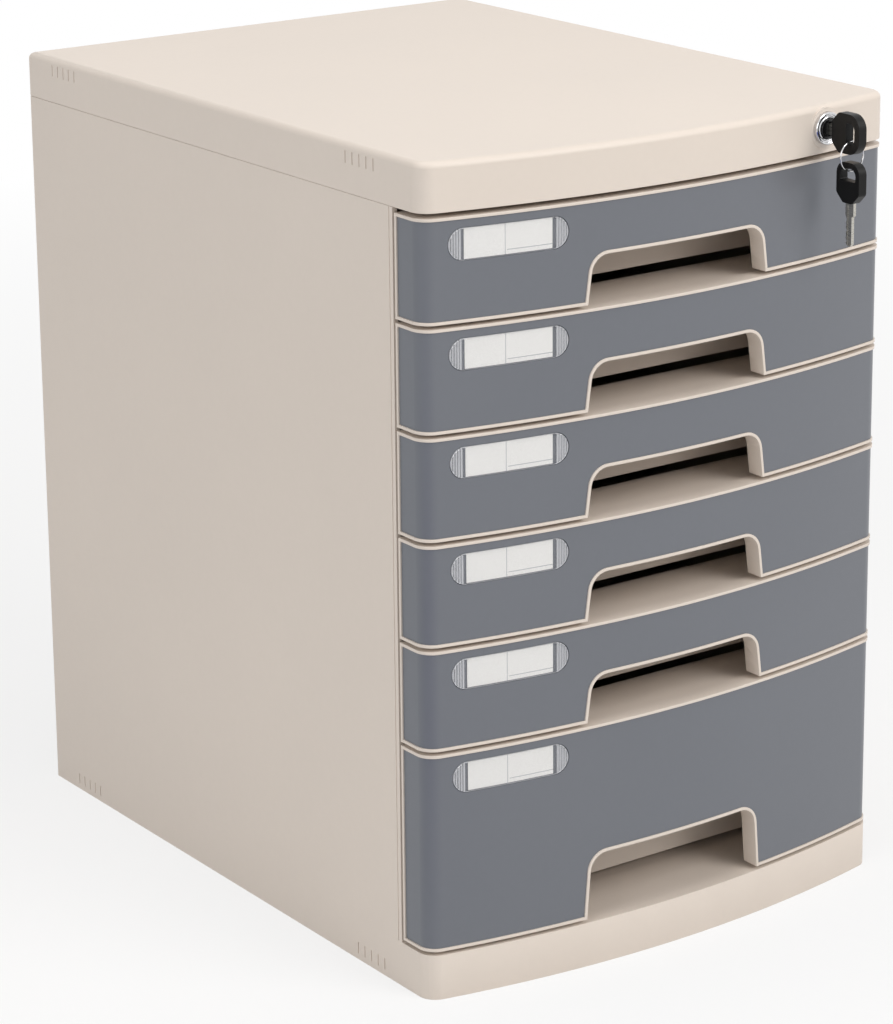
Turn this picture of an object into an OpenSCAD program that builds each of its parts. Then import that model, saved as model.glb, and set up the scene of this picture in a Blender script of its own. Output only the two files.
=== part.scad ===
// Desktop file drawer: a six-drawer cabinet with bowed fronts, a lock that works on
// all the drawers, and two keys on a wire ring. Millimetres. Z is up, the fronts face -Y,
// X is to the right seen from the front, and the origin is under the back edge's middle.

/* [Casing] */
// Overall width
case_width = 295; // [270:1:330]
// Depth from the back to the middle of the bowed front
case_depth = 394; // [360:1:430]
// Overall height
case_height = 430; // [420:1:460]
// How far the front bows out at its middle
front_bow = 17; // [13:0.5:21]
// Radius of the two front corners seen from above
corner_radius = 10; // [7:0.5:14]
// Height of the top cover
cover_height = 25; // [24:0.5:28]
// Rounding of the cover's upper edge
cover_edge = 3.5; // [1.5:0.5:5]
// Height of the base
base_height = 24; // [20:0.5:28]
// Wall thickness of the cover, base, sides and back
wall = 2.8; // [2.4:0.1:3.2]
// Diameter of a rubber foot
foot_diameter = 16; // [12:0.5:18]

/* [Screws] */
// Distance of the side screws from the inside of a side panel
screw_inset = 6; // [5.4:0.1:6.4]
// Length of a screw boss
boss_length = 15; // [12:0.5:18]
// Distance of the rear screws from the back
rear_screw = 44; // [30:1:60]
// Distance of the cover and base screws at the back from the sides
back_screw_inset = 62.5; // [50:0.5:80]
// Depth of the ribs under the base and the cover
rib_depth = 7.7; // [6:0.1:8]
// Rib thickness
rib = 2; // [1.6:0.1:2.4]

/* [Drawer fronts] */
// Height of a shallow front
front_height = 52.3; // [51:0.1:53]
// Gap between two fronts
front_gap = 2; // [1.4:0.1:2.4]
// Gap between the top front and the cover
cover_gap = 2.5; // [2:0.1:3]
// Length of the front's return along the side
front_return = 21.5; // [18:0.5:26]
// Depth of the moulded rim round a front
rim_depth = 10.5; // [8:0.5:11]
// Width of the rim's bead
bead = 1.5; // [1.2:0.1:2]
// How far the bead stands out from the facing
bead_stand = 0.7; // [0.4:0.1:1]
// Thickness of the grey facing
facing = 1.5; // [1:0.1:2]
// Skin behind the facing
skin = 2.2; // [1.8:0.1:2.8]

/* [Finger notches] */
// Half of a notch's width at the bottom edge of the front
notch_half = 56.5; // [50:0.5:62]
// How much narrower each side is at the top
notch_flare = 2; // [0:0.5:4]
// Radius of a notch's upper corners
notch_radius = 10; // [6:0.5:12]
// Height of a notch in a shallow front
notch_height = 24.5; // [20:0.5:28]
// Height of the notch in the deep front
deep_notch_height = 35; // [28:0.5:44]
// Notch centre, from the middle of the casing
notch_x = -1.5; // [-4:0.5:4]

/* [Label holders] */
// Length of a label window
window_length = 65; // [58:1:70]
// Height of a label window
window_height = 16; // [14:0.5:18]
// Window centre from the casing's left side
window_from_side = 46; // [43.5:0.5:50]
// Window centre below the front's upper edge
window_drop = 13.9; // [12:0.1:15]
// Label card length
card_length = 48; // [40:0.5:50]

/* [Drawers] */
// Gap between a drawer's side wall and the casing's side
side_room = 11.7; // [11.2:0.1:13]
// Drawer wall thickness
tray_wall = 2.2; // [1.8:0.1:2.8]
// Radius of a drawer's upright corners
tray_corner = 4; // [3:0.5:6]
// Distance from the middle of the front to the drawer's inner front wall
front_space = 44; // [40:0.5:48]
// Space behind a drawer
back_space = 11; // [9:0.5:14]
// Height of the drawer's underside above its front's lower edge
tray_lift = 2.2; // [1.8:0.1:3]
// Runner flange thickness
flange = 2.2; // [1.8:0.1:2.4]
// Clearance over a runner flange
runner_play = 0.2; // [0.1:0.1:0.4]
// How far a drawer pulls out
drawer_travel = 250; // [200:5:260]

/* [Lock] */
// Lock centre from the right side
lock_from_side = 50.5; // [44:0.5:54]
// Lock centre below the top
lock_drop = 11.7; // [11.5:0.1:12]
// Diameter of the lock's bright rim
lock_rim = 17; // [16:0.5:17.5]
// Diameter of the lock's plug
plug_diameter = 11; // [10:0.5:11]
// Cam pin's distance from the plug's axis
cam_throw = 5.5; // [5:0.1:5.6]
// Cam pin diameter
cam_pin = 3.2; // [2.8:0.1:3.4]
// Running clearance of the plug in its barrel
plug_play = 0.05; // [0.03:0.01:0.1]
// Clearance of the cam pin in the bar's slot
pin_play = 0.3; // [0.25:0.01:0.35]
// Lock bar thickness
bar_thick = 2.2; // [1.8:0.1:2.2]
// Lock bar width
bar_width = 12; // [10:0.5:13]

/* [Keys] */
// Thickness of a key's grip
grip_thick = 5.75; // [5:0.25:6]
// Height of the key's grip in the lock
grip_height = 22.3; // [21:0.1:23]
// Length of the key's grip in the lock
grip_length = 20.5; // [19:0.5:22]
// Gap between the plug's face and the key's grip
grip_gap = 4; // [3:0.5:6]
// Width of the hanging key's grip
spare_width = 17; // [15:0.5:18]
// Height of the hanging key's grip
spare_height = 23; // [21:0.5:25]
// Length of a key's blade outside its grip
blade_length = 24; // [22:0.5:26]
// Blade thickness
blade_thick = 1.8; // [1.4:0.1:2]
// Inside radius of the key ring
ring_inside = 7; // [7:0.1:7.2]
// Wire diameter of the key ring
ring_wire = 1.2; // [1:0.1:1.4]

/* [Hidden] */
$fn = 96;
beige = [0.87, 0.83, 0.77];
grey = [0.46, 0.46, 0.48];
half = case_width / 2;
cover_z = case_height - cover_height;
bow_r = (half * half + front_bow * front_bow) / (2 * front_bow);
bow_y = bow_r - case_depth;
corner_y = -(case_depth - front_bow);
return_y = corner_y + front_return;
side_y = return_y + 1.5;
inner = half - wall;
window_x = half - window_from_side;
screw_x = inner - screw_inset;
screw_rows = [-rear_screw, corner_y / 2, corner_y + 59];
back_screw_x = [-(half - back_screw_inset), 0, half - back_screw_inset];
rib_x = half / 3;
foot_x = half - 34;
foot_y = [-30, corner_y + 40];
panel_screw_z = [base_height + 40, (base_height + cover_z) / 2, cover_z - 40];
deep_height = cover_z - base_height - 5 * front_height - 6 * front_gap - cover_gap;
tray_half = inner - side_room;
tray_y = -(case_depth - front_space);
tray_back = -(wall + back_space);
flange_half = inner - 3.2;
inner_gusset = 86;
outer_gusset = tray_half - tray_corner - tray_wall / 2 - 0.2;
stop_y = tray_back - tray_corner - 4;
runner_front = tray_y + 17;
runner_back = -16;
lock_x = half - lock_from_side;
lock_z = case_height - lock_drop;
front_at_lock = bow_y - sqrt(bow_r * bow_r - lock_x * lock_x);
rim_face = front_at_lock - 3.9;
plug_face = rim_face - 0.5;
barrel_back = front_at_lock + 28;
cam_y = barrel_back + 0.3;
arm_y = tray_y - 0.2;
bar_x = inner - 0.5;
pin_x = lock_x + cam_throw * cos(45);
pin_z = lock_z + cam_throw * sin(45);
ring_y = plug_face - grip_gap - grip_length + 7.8;
slot_low = lock_z - 6;
grip_bar_z = (slot_low + lock_z - grip_height / 2) / 2;
ring_z = grip_bar_z - 2.8;
ring_r = ring_inside + ring_wire / 2;
spare_pivot_z = ring_z - ring_r;
spare_slot_top = spare_pivot_z + 1.55;

// heights of a front's lower and upper edge, counted from the top drawer
function front_low(i) = i == 6 ? base_height + front_gap
    : cover_z - cover_gap - i * front_height - (i - 1) * front_gap;
function front_high(i) = front_low(i) + (i == 6 ? deep_height : front_height);
function notch_top(i) = i == 6 ? deep_notch_height : notch_height;
function fillet_x(in, r) = half - in - r;
function fillet_y(in, r) = bow_y - sqrt(pow(bow_r - in - r, 2) - pow(fillet_x(in, r), 2));

// the casing's outline seen from above, moved in by a distance all round but the back
module plan(in = 0, rear = 0, bow_facets = 720, corner_facets = 96) {
    if (in > corner_radius - 1)
        square_plan(in, rear, bow_facets);
    else
        round_plan(in, rear, bow_facets, corner_facets);
}

// further in than the corner radius, the bow meets the sides at a plain corner
module square_plan(in, rear, bow_facets) {
    intersection() {
        translate([0, bow_y])
            circle(r = bow_r - in, $fn = bow_facets);
        translate([-(half - in), -case_depth])
            square([2 * (half - in), case_depth - rear]);
    }
}

module round_plan(in, rear, bow_facets, corner_facets) {
    r = corner_radius - in;
    fx = fillet_x(in, r);
    fy = fillet_y(in, r);
    union() {
        translate([-(half - in), fy])
            square([2 * (half - in), -rear - fy]);
        for (s = [-1, 1])
            translate([s * fx, fy])
                circle(r = r, $fn = corner_facets);
        intersection() {
            translate([0, bow_y])
                circle(r = bow_r - in, $fn = bow_facets);
            polygon([[-fx, fy], [-1.3 * fx, bow_y + 1.3 * (fy - bow_y)],
                [1.3 * fx, bow_y + 1.3 * (fy - bow_y)], [fx, fy]]);
        }
    }
}

module slab(z0, z1, in = 0, rear = 0, bow_facets = 720, corner_facets = 96) {
    translate([0, 0, z0])
        linear_extrude(height = z1 - z0)
            plan(in, rear, bow_facets, corner_facets);
}

module block(x0, x1, y0, y1, z0, z1) {
    translate([x0, y0, z0])
        cube([x1 - x0, y1 - y0, z1 - z0]);
}

// a rod along Y, from y0 to y1
module rod(x, z, y0, y1, r) {
    translate([x, y1, z])
        rotate([90, 0, 0])
            cylinder(r = r, h = y1 - y0);
}

// five short upright grooves near each end of a side, on the cover and the base
module grip_marks(z0, z1) {
    for (s = [-1, 1], start = [-25.8, corner_y + 62.7], k = [0:4])
        block(s * half - 0.5, s * half + 0.5, start - 6 * k - 0.35, start - 6 * k + 0.35, z0, z1);
}

// ---- top cover ----
// the cover's outside: the outline, drawn in by steps that follow a quarter round
module cover_outside() {
    hull()
        for (k = [0:5]) {
            in = cover_edge * (1 - cos(18 * k));
            top = case_height - cover_edge * (1 - sin(18 * k));
            slab(k == 0 ? cover_z : top - 0.01, top, in, in, 240, 48);
        }
}

module cover() {
    color(beige)
        difference() {
            union() {
                difference() {
                    cover_outside();
                    slab(cover_z - 1, case_height - wall, wall, wall);
                }
                intersection() {
                    rod(lock_x, lock_z, front_at_lock - 4, front_at_lock + 8, lock_rim / 2 + 2);
                    slab(cover_z + 0.5, case_height - 1, 1);
                }
                for (k = [-2:1])
                    block(k * rib_x - rib / 2, k * rib_x + rib / 2, tray_y + 14, -wall,
                        case_height - wall - rib_depth, case_height - wall + 1);
                for (y = [corner_y / 3, corner_y * 2 / 3])
                    block(-inner - 0.5, inner - 16, y - rib / 2, y + rib / 2,
                        case_height - wall - rib_depth, case_height - wall + 1);
                for (x = back_screw_x)
                    rod(x, cover_z + 9, -wall - 9, -wall + 1, 4.5);
            }
            rod(lock_x, lock_z, front_at_lock - 20, front_at_lock + 1.7, lock_rim / 2 + 0.05);
            rod(lock_x, lock_z, front_at_lock - 20, front_at_lock + 20, 7);
            for (x = back_screw_x)
                rod(x, cover_z + 9, -wall - 12, 1, 1.5);
            grip_marks(case_height - 10.2, case_height - 4);
        }
}

// ---- base ----
module base() {
    color(beige)
        difference() {
            union() {
                difference() {
                    slab(0, base_height);
                    slab(-1, base_height - wall, wall, wall);
                }
                for (k = [-2:2])
                    block(k * rib_x - rib / 2, k * rib_x + rib / 2, corner_y + wall, -wall,
                        base_height - wall - rib_depth, base_height - wall + 1);
                for (y = [corner_y / 5, corner_y / 2, corner_y * 4 / 5])
                    block(-inner - 0.5, inner + 0.5, y - rib / 2, y + rib / 2,
                        base_height - wall - rib_depth, base_height - wall + 1);
                for (sx = [-1, 1], y = foot_y)
                    translate([sx * foot_x, y, 2])
                        cylinder(r = foot_diameter / 2 + 2.5, h = base_height - wall - 1.5);
                for (sx = [-1, 1], y = screw_rows)
                    translate([sx * screw_x, y, 9])
                        cylinder(r = 5, h = base_height - wall - 8.5);
                for (x = back_screw_x)
                    rod(x, base_height / 2, -wall - 9, -wall + 1, 4.5);
            }
            for (sx = [-1, 1], y = screw_rows)
                translate([sx * screw_x, y, 0])
                    cylinder(r = 1.8, h = base_height + 1);
            for (x = back_screw_x)
                rod(x, base_height / 2, -wall - 12, 1, 1.5);
            for (sx = [-1, 1], y = foot_y)
                translate([sx * foot_x, y, -1])
                    cylinder(r = foot_diameter / 2, h = 4);
            grip_marks(3.2, 9.4);
        }
}

module feet() {
    color([0.14, 0.14, 0.15])
        for (sx = [-1, 1], y = foot_y)
            translate([sx * foot_x, y, 0])
                cylinder(r = foot_diameter / 2, h = 3);
}

// ---- sides, with a pair of runner rails for each drawer ----
module side_panel() {
    difference() {
        union() {
            block(inner, half, side_y, 0, base_height, cover_z);
            for (i = [1:6]) {
                top = front_high(i) - 1;
                block(inner - 9.2, inner + 0.5, runner_front, runner_back,
                    top - 7 - flange - 2, top - 7 - flange);
                block(inner - 9.2, inner + 0.5, runner_front, runner_back,
                    top - 7 + runner_play, top - 5 + runner_play);
                block(inner - 7.7, inner + 0.5, stop_y - drawer_travel - 3, stop_y - drawer_travel,
                    top - 9.6 - flange - 5, top - 8.5 - flange);
            }
            block(inner - 9, inner + 0.5, -wall - 2.5, -wall, base_height + 4, cover_z - 4);
            for (y = [corner_y * 3 / 4, corner_y / 4])
                block(inner - 2.5, inner, y - 16, y + 16, cover_z - 8, cover_z + 9);
            for (y = screw_rows)
                translate([screw_x, y, base_height])
                    cylinder(r = 4.4, h = boss_length);
            for (y = screw_rows)
                block(screw_x, inner + 0.5, y - 1.5, y + 1.5, base_height, base_height + boss_length);
        }
        for (y = screw_rows)
            translate([screw_x, y, base_height - 1])
                cylinder(r = 1.4, h = boss_length - 1);
        for (z = panel_screw_z)
            rod(inner - 5, z, -wall - 3, 1, 1.4);
        block(half - 0.35, half + 1, side_y + 2.6, side_y + 3.1, base_height - 1, cover_z + 1);
    }
}

module side_left() {
    color(beige)
        mirror([1, 0, 0])
            side_panel();
}

// the right side also guides the lock bar, through three loops
module side_right() {
    color(beige) {
        union() {
            side_panel();
            for (i = [1, 3, 6])
                translate([0, 0, front_low(i) + 31])
                    difference() {
                        block(bar_x - bar_thick - 1.5, inner + 0.5,
                            tray_y + 0.3, tray_y + bar_width + 3.7, 0, 4);
                        block(bar_x - bar_thick - 0.1, bar_x + 0.1,
                            tray_y + 1.9, tray_y + bar_width + 2.1, -1, 5);
                    }
        }
    }
}

module back_panel() {
    color(beige)
        difference() {
            union() {
                block(-inner, inner, -wall, 0, base_height, cover_z);
                for (x = [-60, 60])
                    block(x - 6, x + 6, -wall - 2, -wall, base_height + 20, cover_z - 20);
            }
            for (sx = [-1, 1], z = panel_screw_z)
                rod(sx * (inner - 5), z, -wall - 1, 1, 1.8);
        }
}

module screw(length, r) {
    union() {
        cylinder(r = r, h = length);
        difference() {
            translate([0, 0, -1.8])
                cylinder(r1 = 2.6, r2 = 3.1, h = 1.8);
            for (a = [0, 90])
                rotate([0, 0, a])
                    translate([-1.8, -0.35, -2])
                        cube([3.6, 0.7, 1.1]);
        }
    }
}

module base_screws() {
    color([0.7, 0.7, 0.72])
        for (sx = [-1, 1], y = screw_rows)
            translate([sx * screw_x, y, 9])
                screw(base_height + boss_length - 13, 1.38);
}

module back_screws() {
    color([0.7, 0.7, 0.72]) {
        union() {
            for (sx = [-1, 1], z = panel_screw_z)
                translate([sx * (inner - 5), 0, z])
                    rotate([90, 0, 0])
                        screw(wall + 2.4, 1.38);
            for (x = back_screw_x, z = [base_height / 2, cover_z + 9])
                translate([x, 0, z])
                    rotate([90, 0, 0])
                        screw(11, 1.48);
        }
    }
}

// ---- lock ----
module lock_barrel() {
    color([0.82, 0.82, 0.84])
        difference() {
            union() {
                rod(lock_x, lock_z, rim_face, front_at_lock + 1.7, lock_rim / 2);
                difference() {
                    rod(lock_x, lock_z, front_at_lock, barrel_back, 6.95);
                    difference() {
                        rod(lock_x, lock_z, front_at_lock + 8, front_at_lock + 9.2, 8);
                        rod(lock_x, lock_z, front_at_lock + 7, front_at_lock + 10, 6.25);
                    }
                }
            }
            rod(lock_x, lock_z, rim_face - 1, barrel_back + 1, plug_diameter / 2);
        }
}

module lock_clip() {
    color([0.7, 0.7, 0.72])
        difference() {
            block(lock_x - 10, lock_x + 10, front_at_lock + 8, front_at_lock + 9.2,
                lock_z - 8.4, lock_z + 8.2);
            rod(lock_x, lock_z, front_at_lock + 7, front_at_lock + 10, 6.25);
            block(lock_x - 11, lock_x, front_at_lock + 7, front_at_lock + 10,
                lock_z - 6.25, lock_z + 6.25);
        }
}

module lock_plug() {
    color([0.1, 0.1, 0.11])
        difference() {
            rod(lock_x, lock_z, plug_face, cam_y, plug_diameter / 2 - plug_play);
            block(lock_x - blade_thick / 2 - 0.25, lock_x + blade_thick / 2 + 0.25,
                plug_face - 1, plug_face + blade_length + 1, lock_z - 3.8, lock_z + 3.8);
            rod(lock_x, lock_z, cam_y - 6, cam_y + 1, 1.2);
        }
}

module lock_cam() {
    color([0.75, 0.75, 0.77])
        translate([lock_x, cam_y + 2, lock_z])
            rotate([90, 0, 0])
                difference() {
                    union() {
                        cylinder(r = 4.8, h = 2);
                        rotate([0, 0, 45]) {
                            translate([0, -3.1, 0])
                                cube([cam_throw, 6.2, 2]);
                            translate([cam_throw, 0, 0])
                                cylinder(r = 3.1, h = 2);
                            translate([cam_throw, 0, cam_y + 2 - (arm_y + bar_thick + 0.8)])
                                cylinder(r = cam_pin / 2, h = arm_y + bar_thick + 0.8 - cam_y);
                        }
                    }
                    translate([0, 0, -1])
                        cylinder(r = 1.3, h = 4);
                }
}

module cam_screw() {
    color([0.7, 0.7, 0.72])
        translate([lock_x, cam_y + 2, lock_z])
            rotate([90, 0, 0])
                screw(7, 1.18);
}

// the steel bar in the right side that drops when the plug turns
module lock_bar() {
    color([0.78, 0.78, 0.8])
        block(bar_x - bar_thick, bar_x, tray_y + 2, tray_y + bar_width + 2,
            front_low(6) + 16, pin_z + 3.9);
}

// the arm at the bar's top reaches over to the cam pin, which works in its slot
module lock_arm() {
    strip_x = bar_x - bar_thick;
    color([0.78, 0.78, 0.8])
        difference() {
            union() {
                block(lock_x - 0.5, strip_x, arm_y, arm_y + bar_thick + 0.4,
                    pin_z - 4, pin_z + 3.9);
                block(strip_x - bar_thick, strip_x, arm_y, arm_y + bar_width, pin_z - 4, pin_z + 3.9);
            }
            block(pin_x - cam_pin / 2 - 0.8, lock_x + cam_throw + cam_pin / 2 + 1.2,
                arm_y - 1, arm_y + bar_thick + 2,
                pin_z - cam_pin / 2 - pin_play, pin_z + cam_pin / 2 + pin_play);
        }
}

// a tab on the bar above each drawer's catch
module lock_tabs() {
    color([0.78, 0.78, 0.8])
        for (i = [1:6])
            block(tray_half + 3.4, bar_x - bar_thick, tray_y + 2.5, tray_y + 5.5,
                front_low(i) + 21, front_low(i) + 27);
}

// ---- keys ----
module grip_outline(len, ht, c1, c2) {
    polygon([[0, -ht / 2 + c1], [c1, -ht / 2], [len - c2, -ht / 2], [len, -ht / 2 + c2],
        [len, ht / 2 - c2], [len - c2, ht / 2], [c1, ht / 2], [0, ht / 2 - c1]]);
}

// a moulded grip that lies in the YZ plane with its neck at the origin, pointing to -Y
module grip(len, ht, c1, c2, slot_at, slot_w, slot_h, slot_off = 0) {
    difference() {
        translate([-grip_thick / 2, 0, 0])
            rotate([0, 0, 180])
                rotate([90, 0, 90])
                    translate([0, 0, -grip_thick])
                        linear_extrude(height = grip_thick)
                            difference() {
                                grip_outline(len, ht, c1, c2);
                                translate([slot_at - slot_w / 2, slot_off - slot_h / 2])
                                    square([slot_w, slot_h]);
                            }
        translate([-blade_thick / 2, -8, -3])
            cube([blade_thick, 9, 6]);
    }
}

// the blade from inside the grip to its tip, along +Y, with cuts on one edge
module blade() {
    difference() {
        union() {
            translate([-blade_thick / 2, -8, -3])
                cube([blade_thick, 8 + 6.5, 6]);
            translate([-blade_thick / 2, 0, -2.4])
                cube([blade_thick, blade_length - 1.5, 4.2]);
            translate([-blade_thick / 2, blade_length - 1.5, -1.4])
                cube([blade_thick, 1.5, 2.4]);
        }
        for (k = [0:4])
            translate([-2, 9.5 + 3 * k, -3.3 - (k % 2) * 0.35])
                rotate([45, 0, 0])
                    cube([4, 1.3, 1.3]);
        translate([-blade_thick / 2 - 1, 1, -0.4])
            cube([1.35, blade_length + 1, 0.9]);
    }
}

module key_grip() {
    color([0.09, 0.09, 0.1])
        translate([lock_x, plug_face - grip_gap, lock_z])
            grip(grip_length, grip_height, 5.5, 3.5, grip_length - 7.8, 4, 12);
}

module key_blade() {
    color([0.72, 0.71, 0.68])
        translate([lock_x, plug_face - grip_gap, lock_z])
            blade();
}

module key_ring() {
    color([0.8, 0.8, 0.82])
        translate([lock_x, ring_y, ring_z])
            rotate([90, 0, 0])
                rotate_extrude()
                    translate([ring_r, 0])
                        circle(r = ring_wire / 2, $fn = 32);
}

module spare_place() {
    translate([lock_x, ring_y, spare_slot_top + 3 - spare_height])
        rotate([90, 0, 0])
            children();
}

module spare_grip() {
    color([0.09, 0.09, 0.1])
        spare_place()
            mirror([0, 1, 0])
                grip(spare_height, spare_width, 5, 3.6, spare_height - 5, 4, 9);
}

module spare_blade() {
    color([0.72, 0.71, 0.68])
        spare_place()
            mirror([0, 1, 0])
                blade();
}

// ---- drawers ----
module stadium(len, ht) {
    union() {
        square([len - ht, ht], center = true);
        for (s = [-1, 1])
            translate([s * (len - ht) / 2, 0])
                circle(r = ht / 2);
    }
}

// points along an arc about a centre, from one angle to another
function arc(cx, cy, r, a0, a1, n) = [
    for (k = [0:n])
        [cx + r * cos(a0 + (a1 - a0) * k / n), cy + r * sin(a0 + (a1 - a0) * k / n)]
];

// a notch seen from the front, widened by a distance, with its lower edge at 0
module notch(top, in) {
    r = notch_radius;
    cx = notch_half - notch_flare - r;
    cz = top - r;
    bx = notch_half + in;
    d = sqrt(pow(bx - cx, 2) + pow(cz, 2));
    a = atan2(-cz, bx - cx) + acos((r + in) / d);
    polygon(concat([[-bx, -4], [bx, -4], [bx, 0]], arc(cx, cz, r + in, a, 90, 8),
        arc(-cx, cz, r + in, 90, 180 - a, 8), [[-bx, 0]]));
}

// what a front covers, seen from the front, moved in by a distance
module front_face(i, in) {
    difference() {
        translate([-half - 5, front_low(i) + in])
            square([case_width + 10, front_high(i) - front_low(i) - 2 * in]);
        translate([notch_x, front_low(i)])
            notch(notch_top(i), in);
    }
}

module front_block(i, in) {
    intersection() {
        translate([0, return_y - in, 0])
            rotate([90, 0, 0])
                linear_extrude(height = case_depth)
                    front_face(i, in);
        children();
    }
}

// a wall that follows the casing's outline between two insets, over a front's height
module band(i, a, b) {
    translate([0, 0, front_low(i) - 1])
        linear_extrude(height = front_high(i) - front_low(i) + 2)
            difference() {
                plan(a, 1);
                plan(b, 0);
            }
}

module front_shell(i) {
    difference() {
        front_block(i, 0)
            band(i, 0, rim_depth);
        front_block(i, bead)
            band(i, -1, bead_stand + facing);
        front_block(i, bead)
            band(i, bead_stand + facing + skin, rim_depth + 1);
    }
}

module rounded(x, y0, y1, r) {
    union() {
        translate([-x, y0 + r])
            square([2 * x, y1 - y0 - 2 * r]);
        translate([-x + r, y0])
            square([2 * x - 2 * r, y1 - y0]);
        for (sx = [-1, 1], y = [y0 + r, y1 - r])
            translate([sx * (x - r), y])
                circle(r = r);
    }
}

// the front moulding: a bowed shell with its bead, and behind it a deck and four gussets
module front(i) {
    low = front_low(i) + tray_lift;
    high = front_high(i) - 1;
    color(beige)
        union() {
            front_shell(i);
            intersection() {
                slab(high - 2, high, bead_stand + facing + 0.5);
                block(-flange_half, flange_half, -case_depth, tray_y, high - 3, high + 1);
            }
            intersection() {
                slab(low, high - 1, bead_stand + facing + 0.5);
                union() {
                    for (x = [-outer_gusset, -inner_gusset, inner_gusset, outer_gusset])
                        block(x - tray_wall / 2, x + tray_wall / 2, -case_depth, tray_y, low, high - 1);
                }
            }
        }
}

module front_1() front(1);
module front_2() front(2);
module front_3() front(3);
module front_4() front(4);
module front_5() front(5);
module front_6() front(6);

// the tray behind it: an open box with rounded upright corners
module tray(i) {
    low = front_low(i) + tray_lift;
    high = front_high(i) - 1;
    color(beige)
        difference() {
            translate([0, 0, low])
                linear_extrude(height = high - low)
                    rounded(tray_half, tray_y, tray_back, tray_corner);
            translate([0, 0, low + tray_wall])
                linear_extrude(height = high - low)
                    rounded(tray_half - tray_wall, tray_y + tray_wall, tray_back - tray_wall,
                        tray_corner + 2);
        }
}

module tray_1() tray(1);
module tray_2() tray(2);
module tray_3() tray(3);
module tray_4() tray(4);
module tray_5() tray(5);
module tray_6() tray(6);

// what is fixed on the tray's sides: two runner strips, two end stops, and the lock's catch
module runners(i) {
    high = front_high(i) - 1;
    color(beige) {
        for (s = [-1, 1]) {
            block(min(s * tray_half, s * flange_half), max(s * tray_half, s * flange_half),
                tray_y + tray_corner, tray_back - tray_corner, high - 7 - flange, high - 7);
            block(min(s * tray_half, s * (tray_half + 6.5)), max(s * tray_half, s * (tray_half + 6.5)),
                stop_y, stop_y + 3, high - 9.6 - flange - 5, high - 9.6 - flange);
        }
        block(tray_half, tray_half + 7, tray_y + 6.3, tray_y + 9.3,
            front_low(i) + 12, front_low(i) + 19.5);
    }
}

module runners_1() runners(1);
module runners_2() runners(2);
module runners_3() runners(3);
module runners_4() runners(4);
module runners_5() runners(5);
module runners_6() runners(6);

module on_window(i, len, ht, square_ends = false) {
    translate([-window_x, 0, front_high(i) - window_drop])
        rotate([90, 0, 0])
            linear_extrude(height = case_depth + 5)
                if (square_ends)
                    square([len, ht], center = true);
                else
                    stadium(len, ht);
}

module facing_sheet(i) {
    color(grey)
        difference() {
            front_block(i, bead)
                band(i, bead_stand, bead_stand + facing);
            on_window(i, window_length + 0.3, window_height + 0.3);
        }
}

module facing_1() facing_sheet(1);
module facing_2() facing_sheet(2);
module facing_3() facing_sheet(3);
module facing_4() facing_sheet(4);
module facing_5() facing_sheet(5);
module facing_6() facing_sheet(6);

// a clear window with upright grooves at both ends, over a paper card
module label_window(i) {
    color([0.85, 0.87, 0.9, 0.5])
        difference() {
            intersection() {
                band(i, bead_stand - 0.2, bead_stand + facing - 0.3);
                on_window(i, window_length, window_height);
            }
            for (s = [-1, 1], k = [0:4])
                translate([-window_x + s * (card_length / 2 + 1.6 + 1.3 * k), 0, front_high(i) - window_drop])
                    intersection() {
                        block(-0.25, 0.25, -case_depth - 5, 0, -window_height, window_height);
                        translate([window_x - s * (card_length / 2 + 1.6 + 1.3 * k), 0, 0])
                            translate([0, 0, -40])
                                linear_extrude(height = 80)
                                    difference() {
                                        plan(-1, 1);
                                        plan(bead_stand + 0.1, 0);
                                    }
                    }
        }
}

module window_1() label_window(1);
module window_2() label_window(2);
module window_3() label_window(3);
module window_4() label_window(4);
module window_5() label_window(5);
module window_6() label_window(6);

module card(i) {
    color([0.95, 0.94, 0.92])
        intersection() {
            band(i, bead_stand + facing - 0.3, bead_stand + facing);
            on_window(i, card_length, window_height - 0.8, true);
        }
}

module card_1() card(1);
module card_2() card(2);
module card_3() card(3);
module card_4() card(4);
module card_5() card(5);
module card_6() card(6);

cover();
base();
side_left();
side_right();
back_panel();
feet();
base_screws();
back_screws();
lock_barrel();
lock_clip();
lock_plug();
lock_cam();
cam_screw();
lock_bar();
lock_arm();
lock_tabs();
key_grip();
key_blade();
key_ring();
spare_grip();
spare_blade();
front_1();
front_2();
front_3();
front_4();
front_5();
front_6();
runners_1();
runners_2();
runners_3();
runners_4();
runners_5();
runners_6();
tray_1();
tray_2();
tray_3();
tray_4();
tray_5();
tray_6();
facing_1();
facing_2();
facing_3();
facing_4();
facing_5();
facing_6();
window_1();
window_2();
window_3();
window_4();
window_5();
window_6();
card_1();
card_2();
card_3();
card_4();
card_5();
card_6();
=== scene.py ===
import math

import bmesh
import bpy
from mathutils import Matrix, Vector


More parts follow.
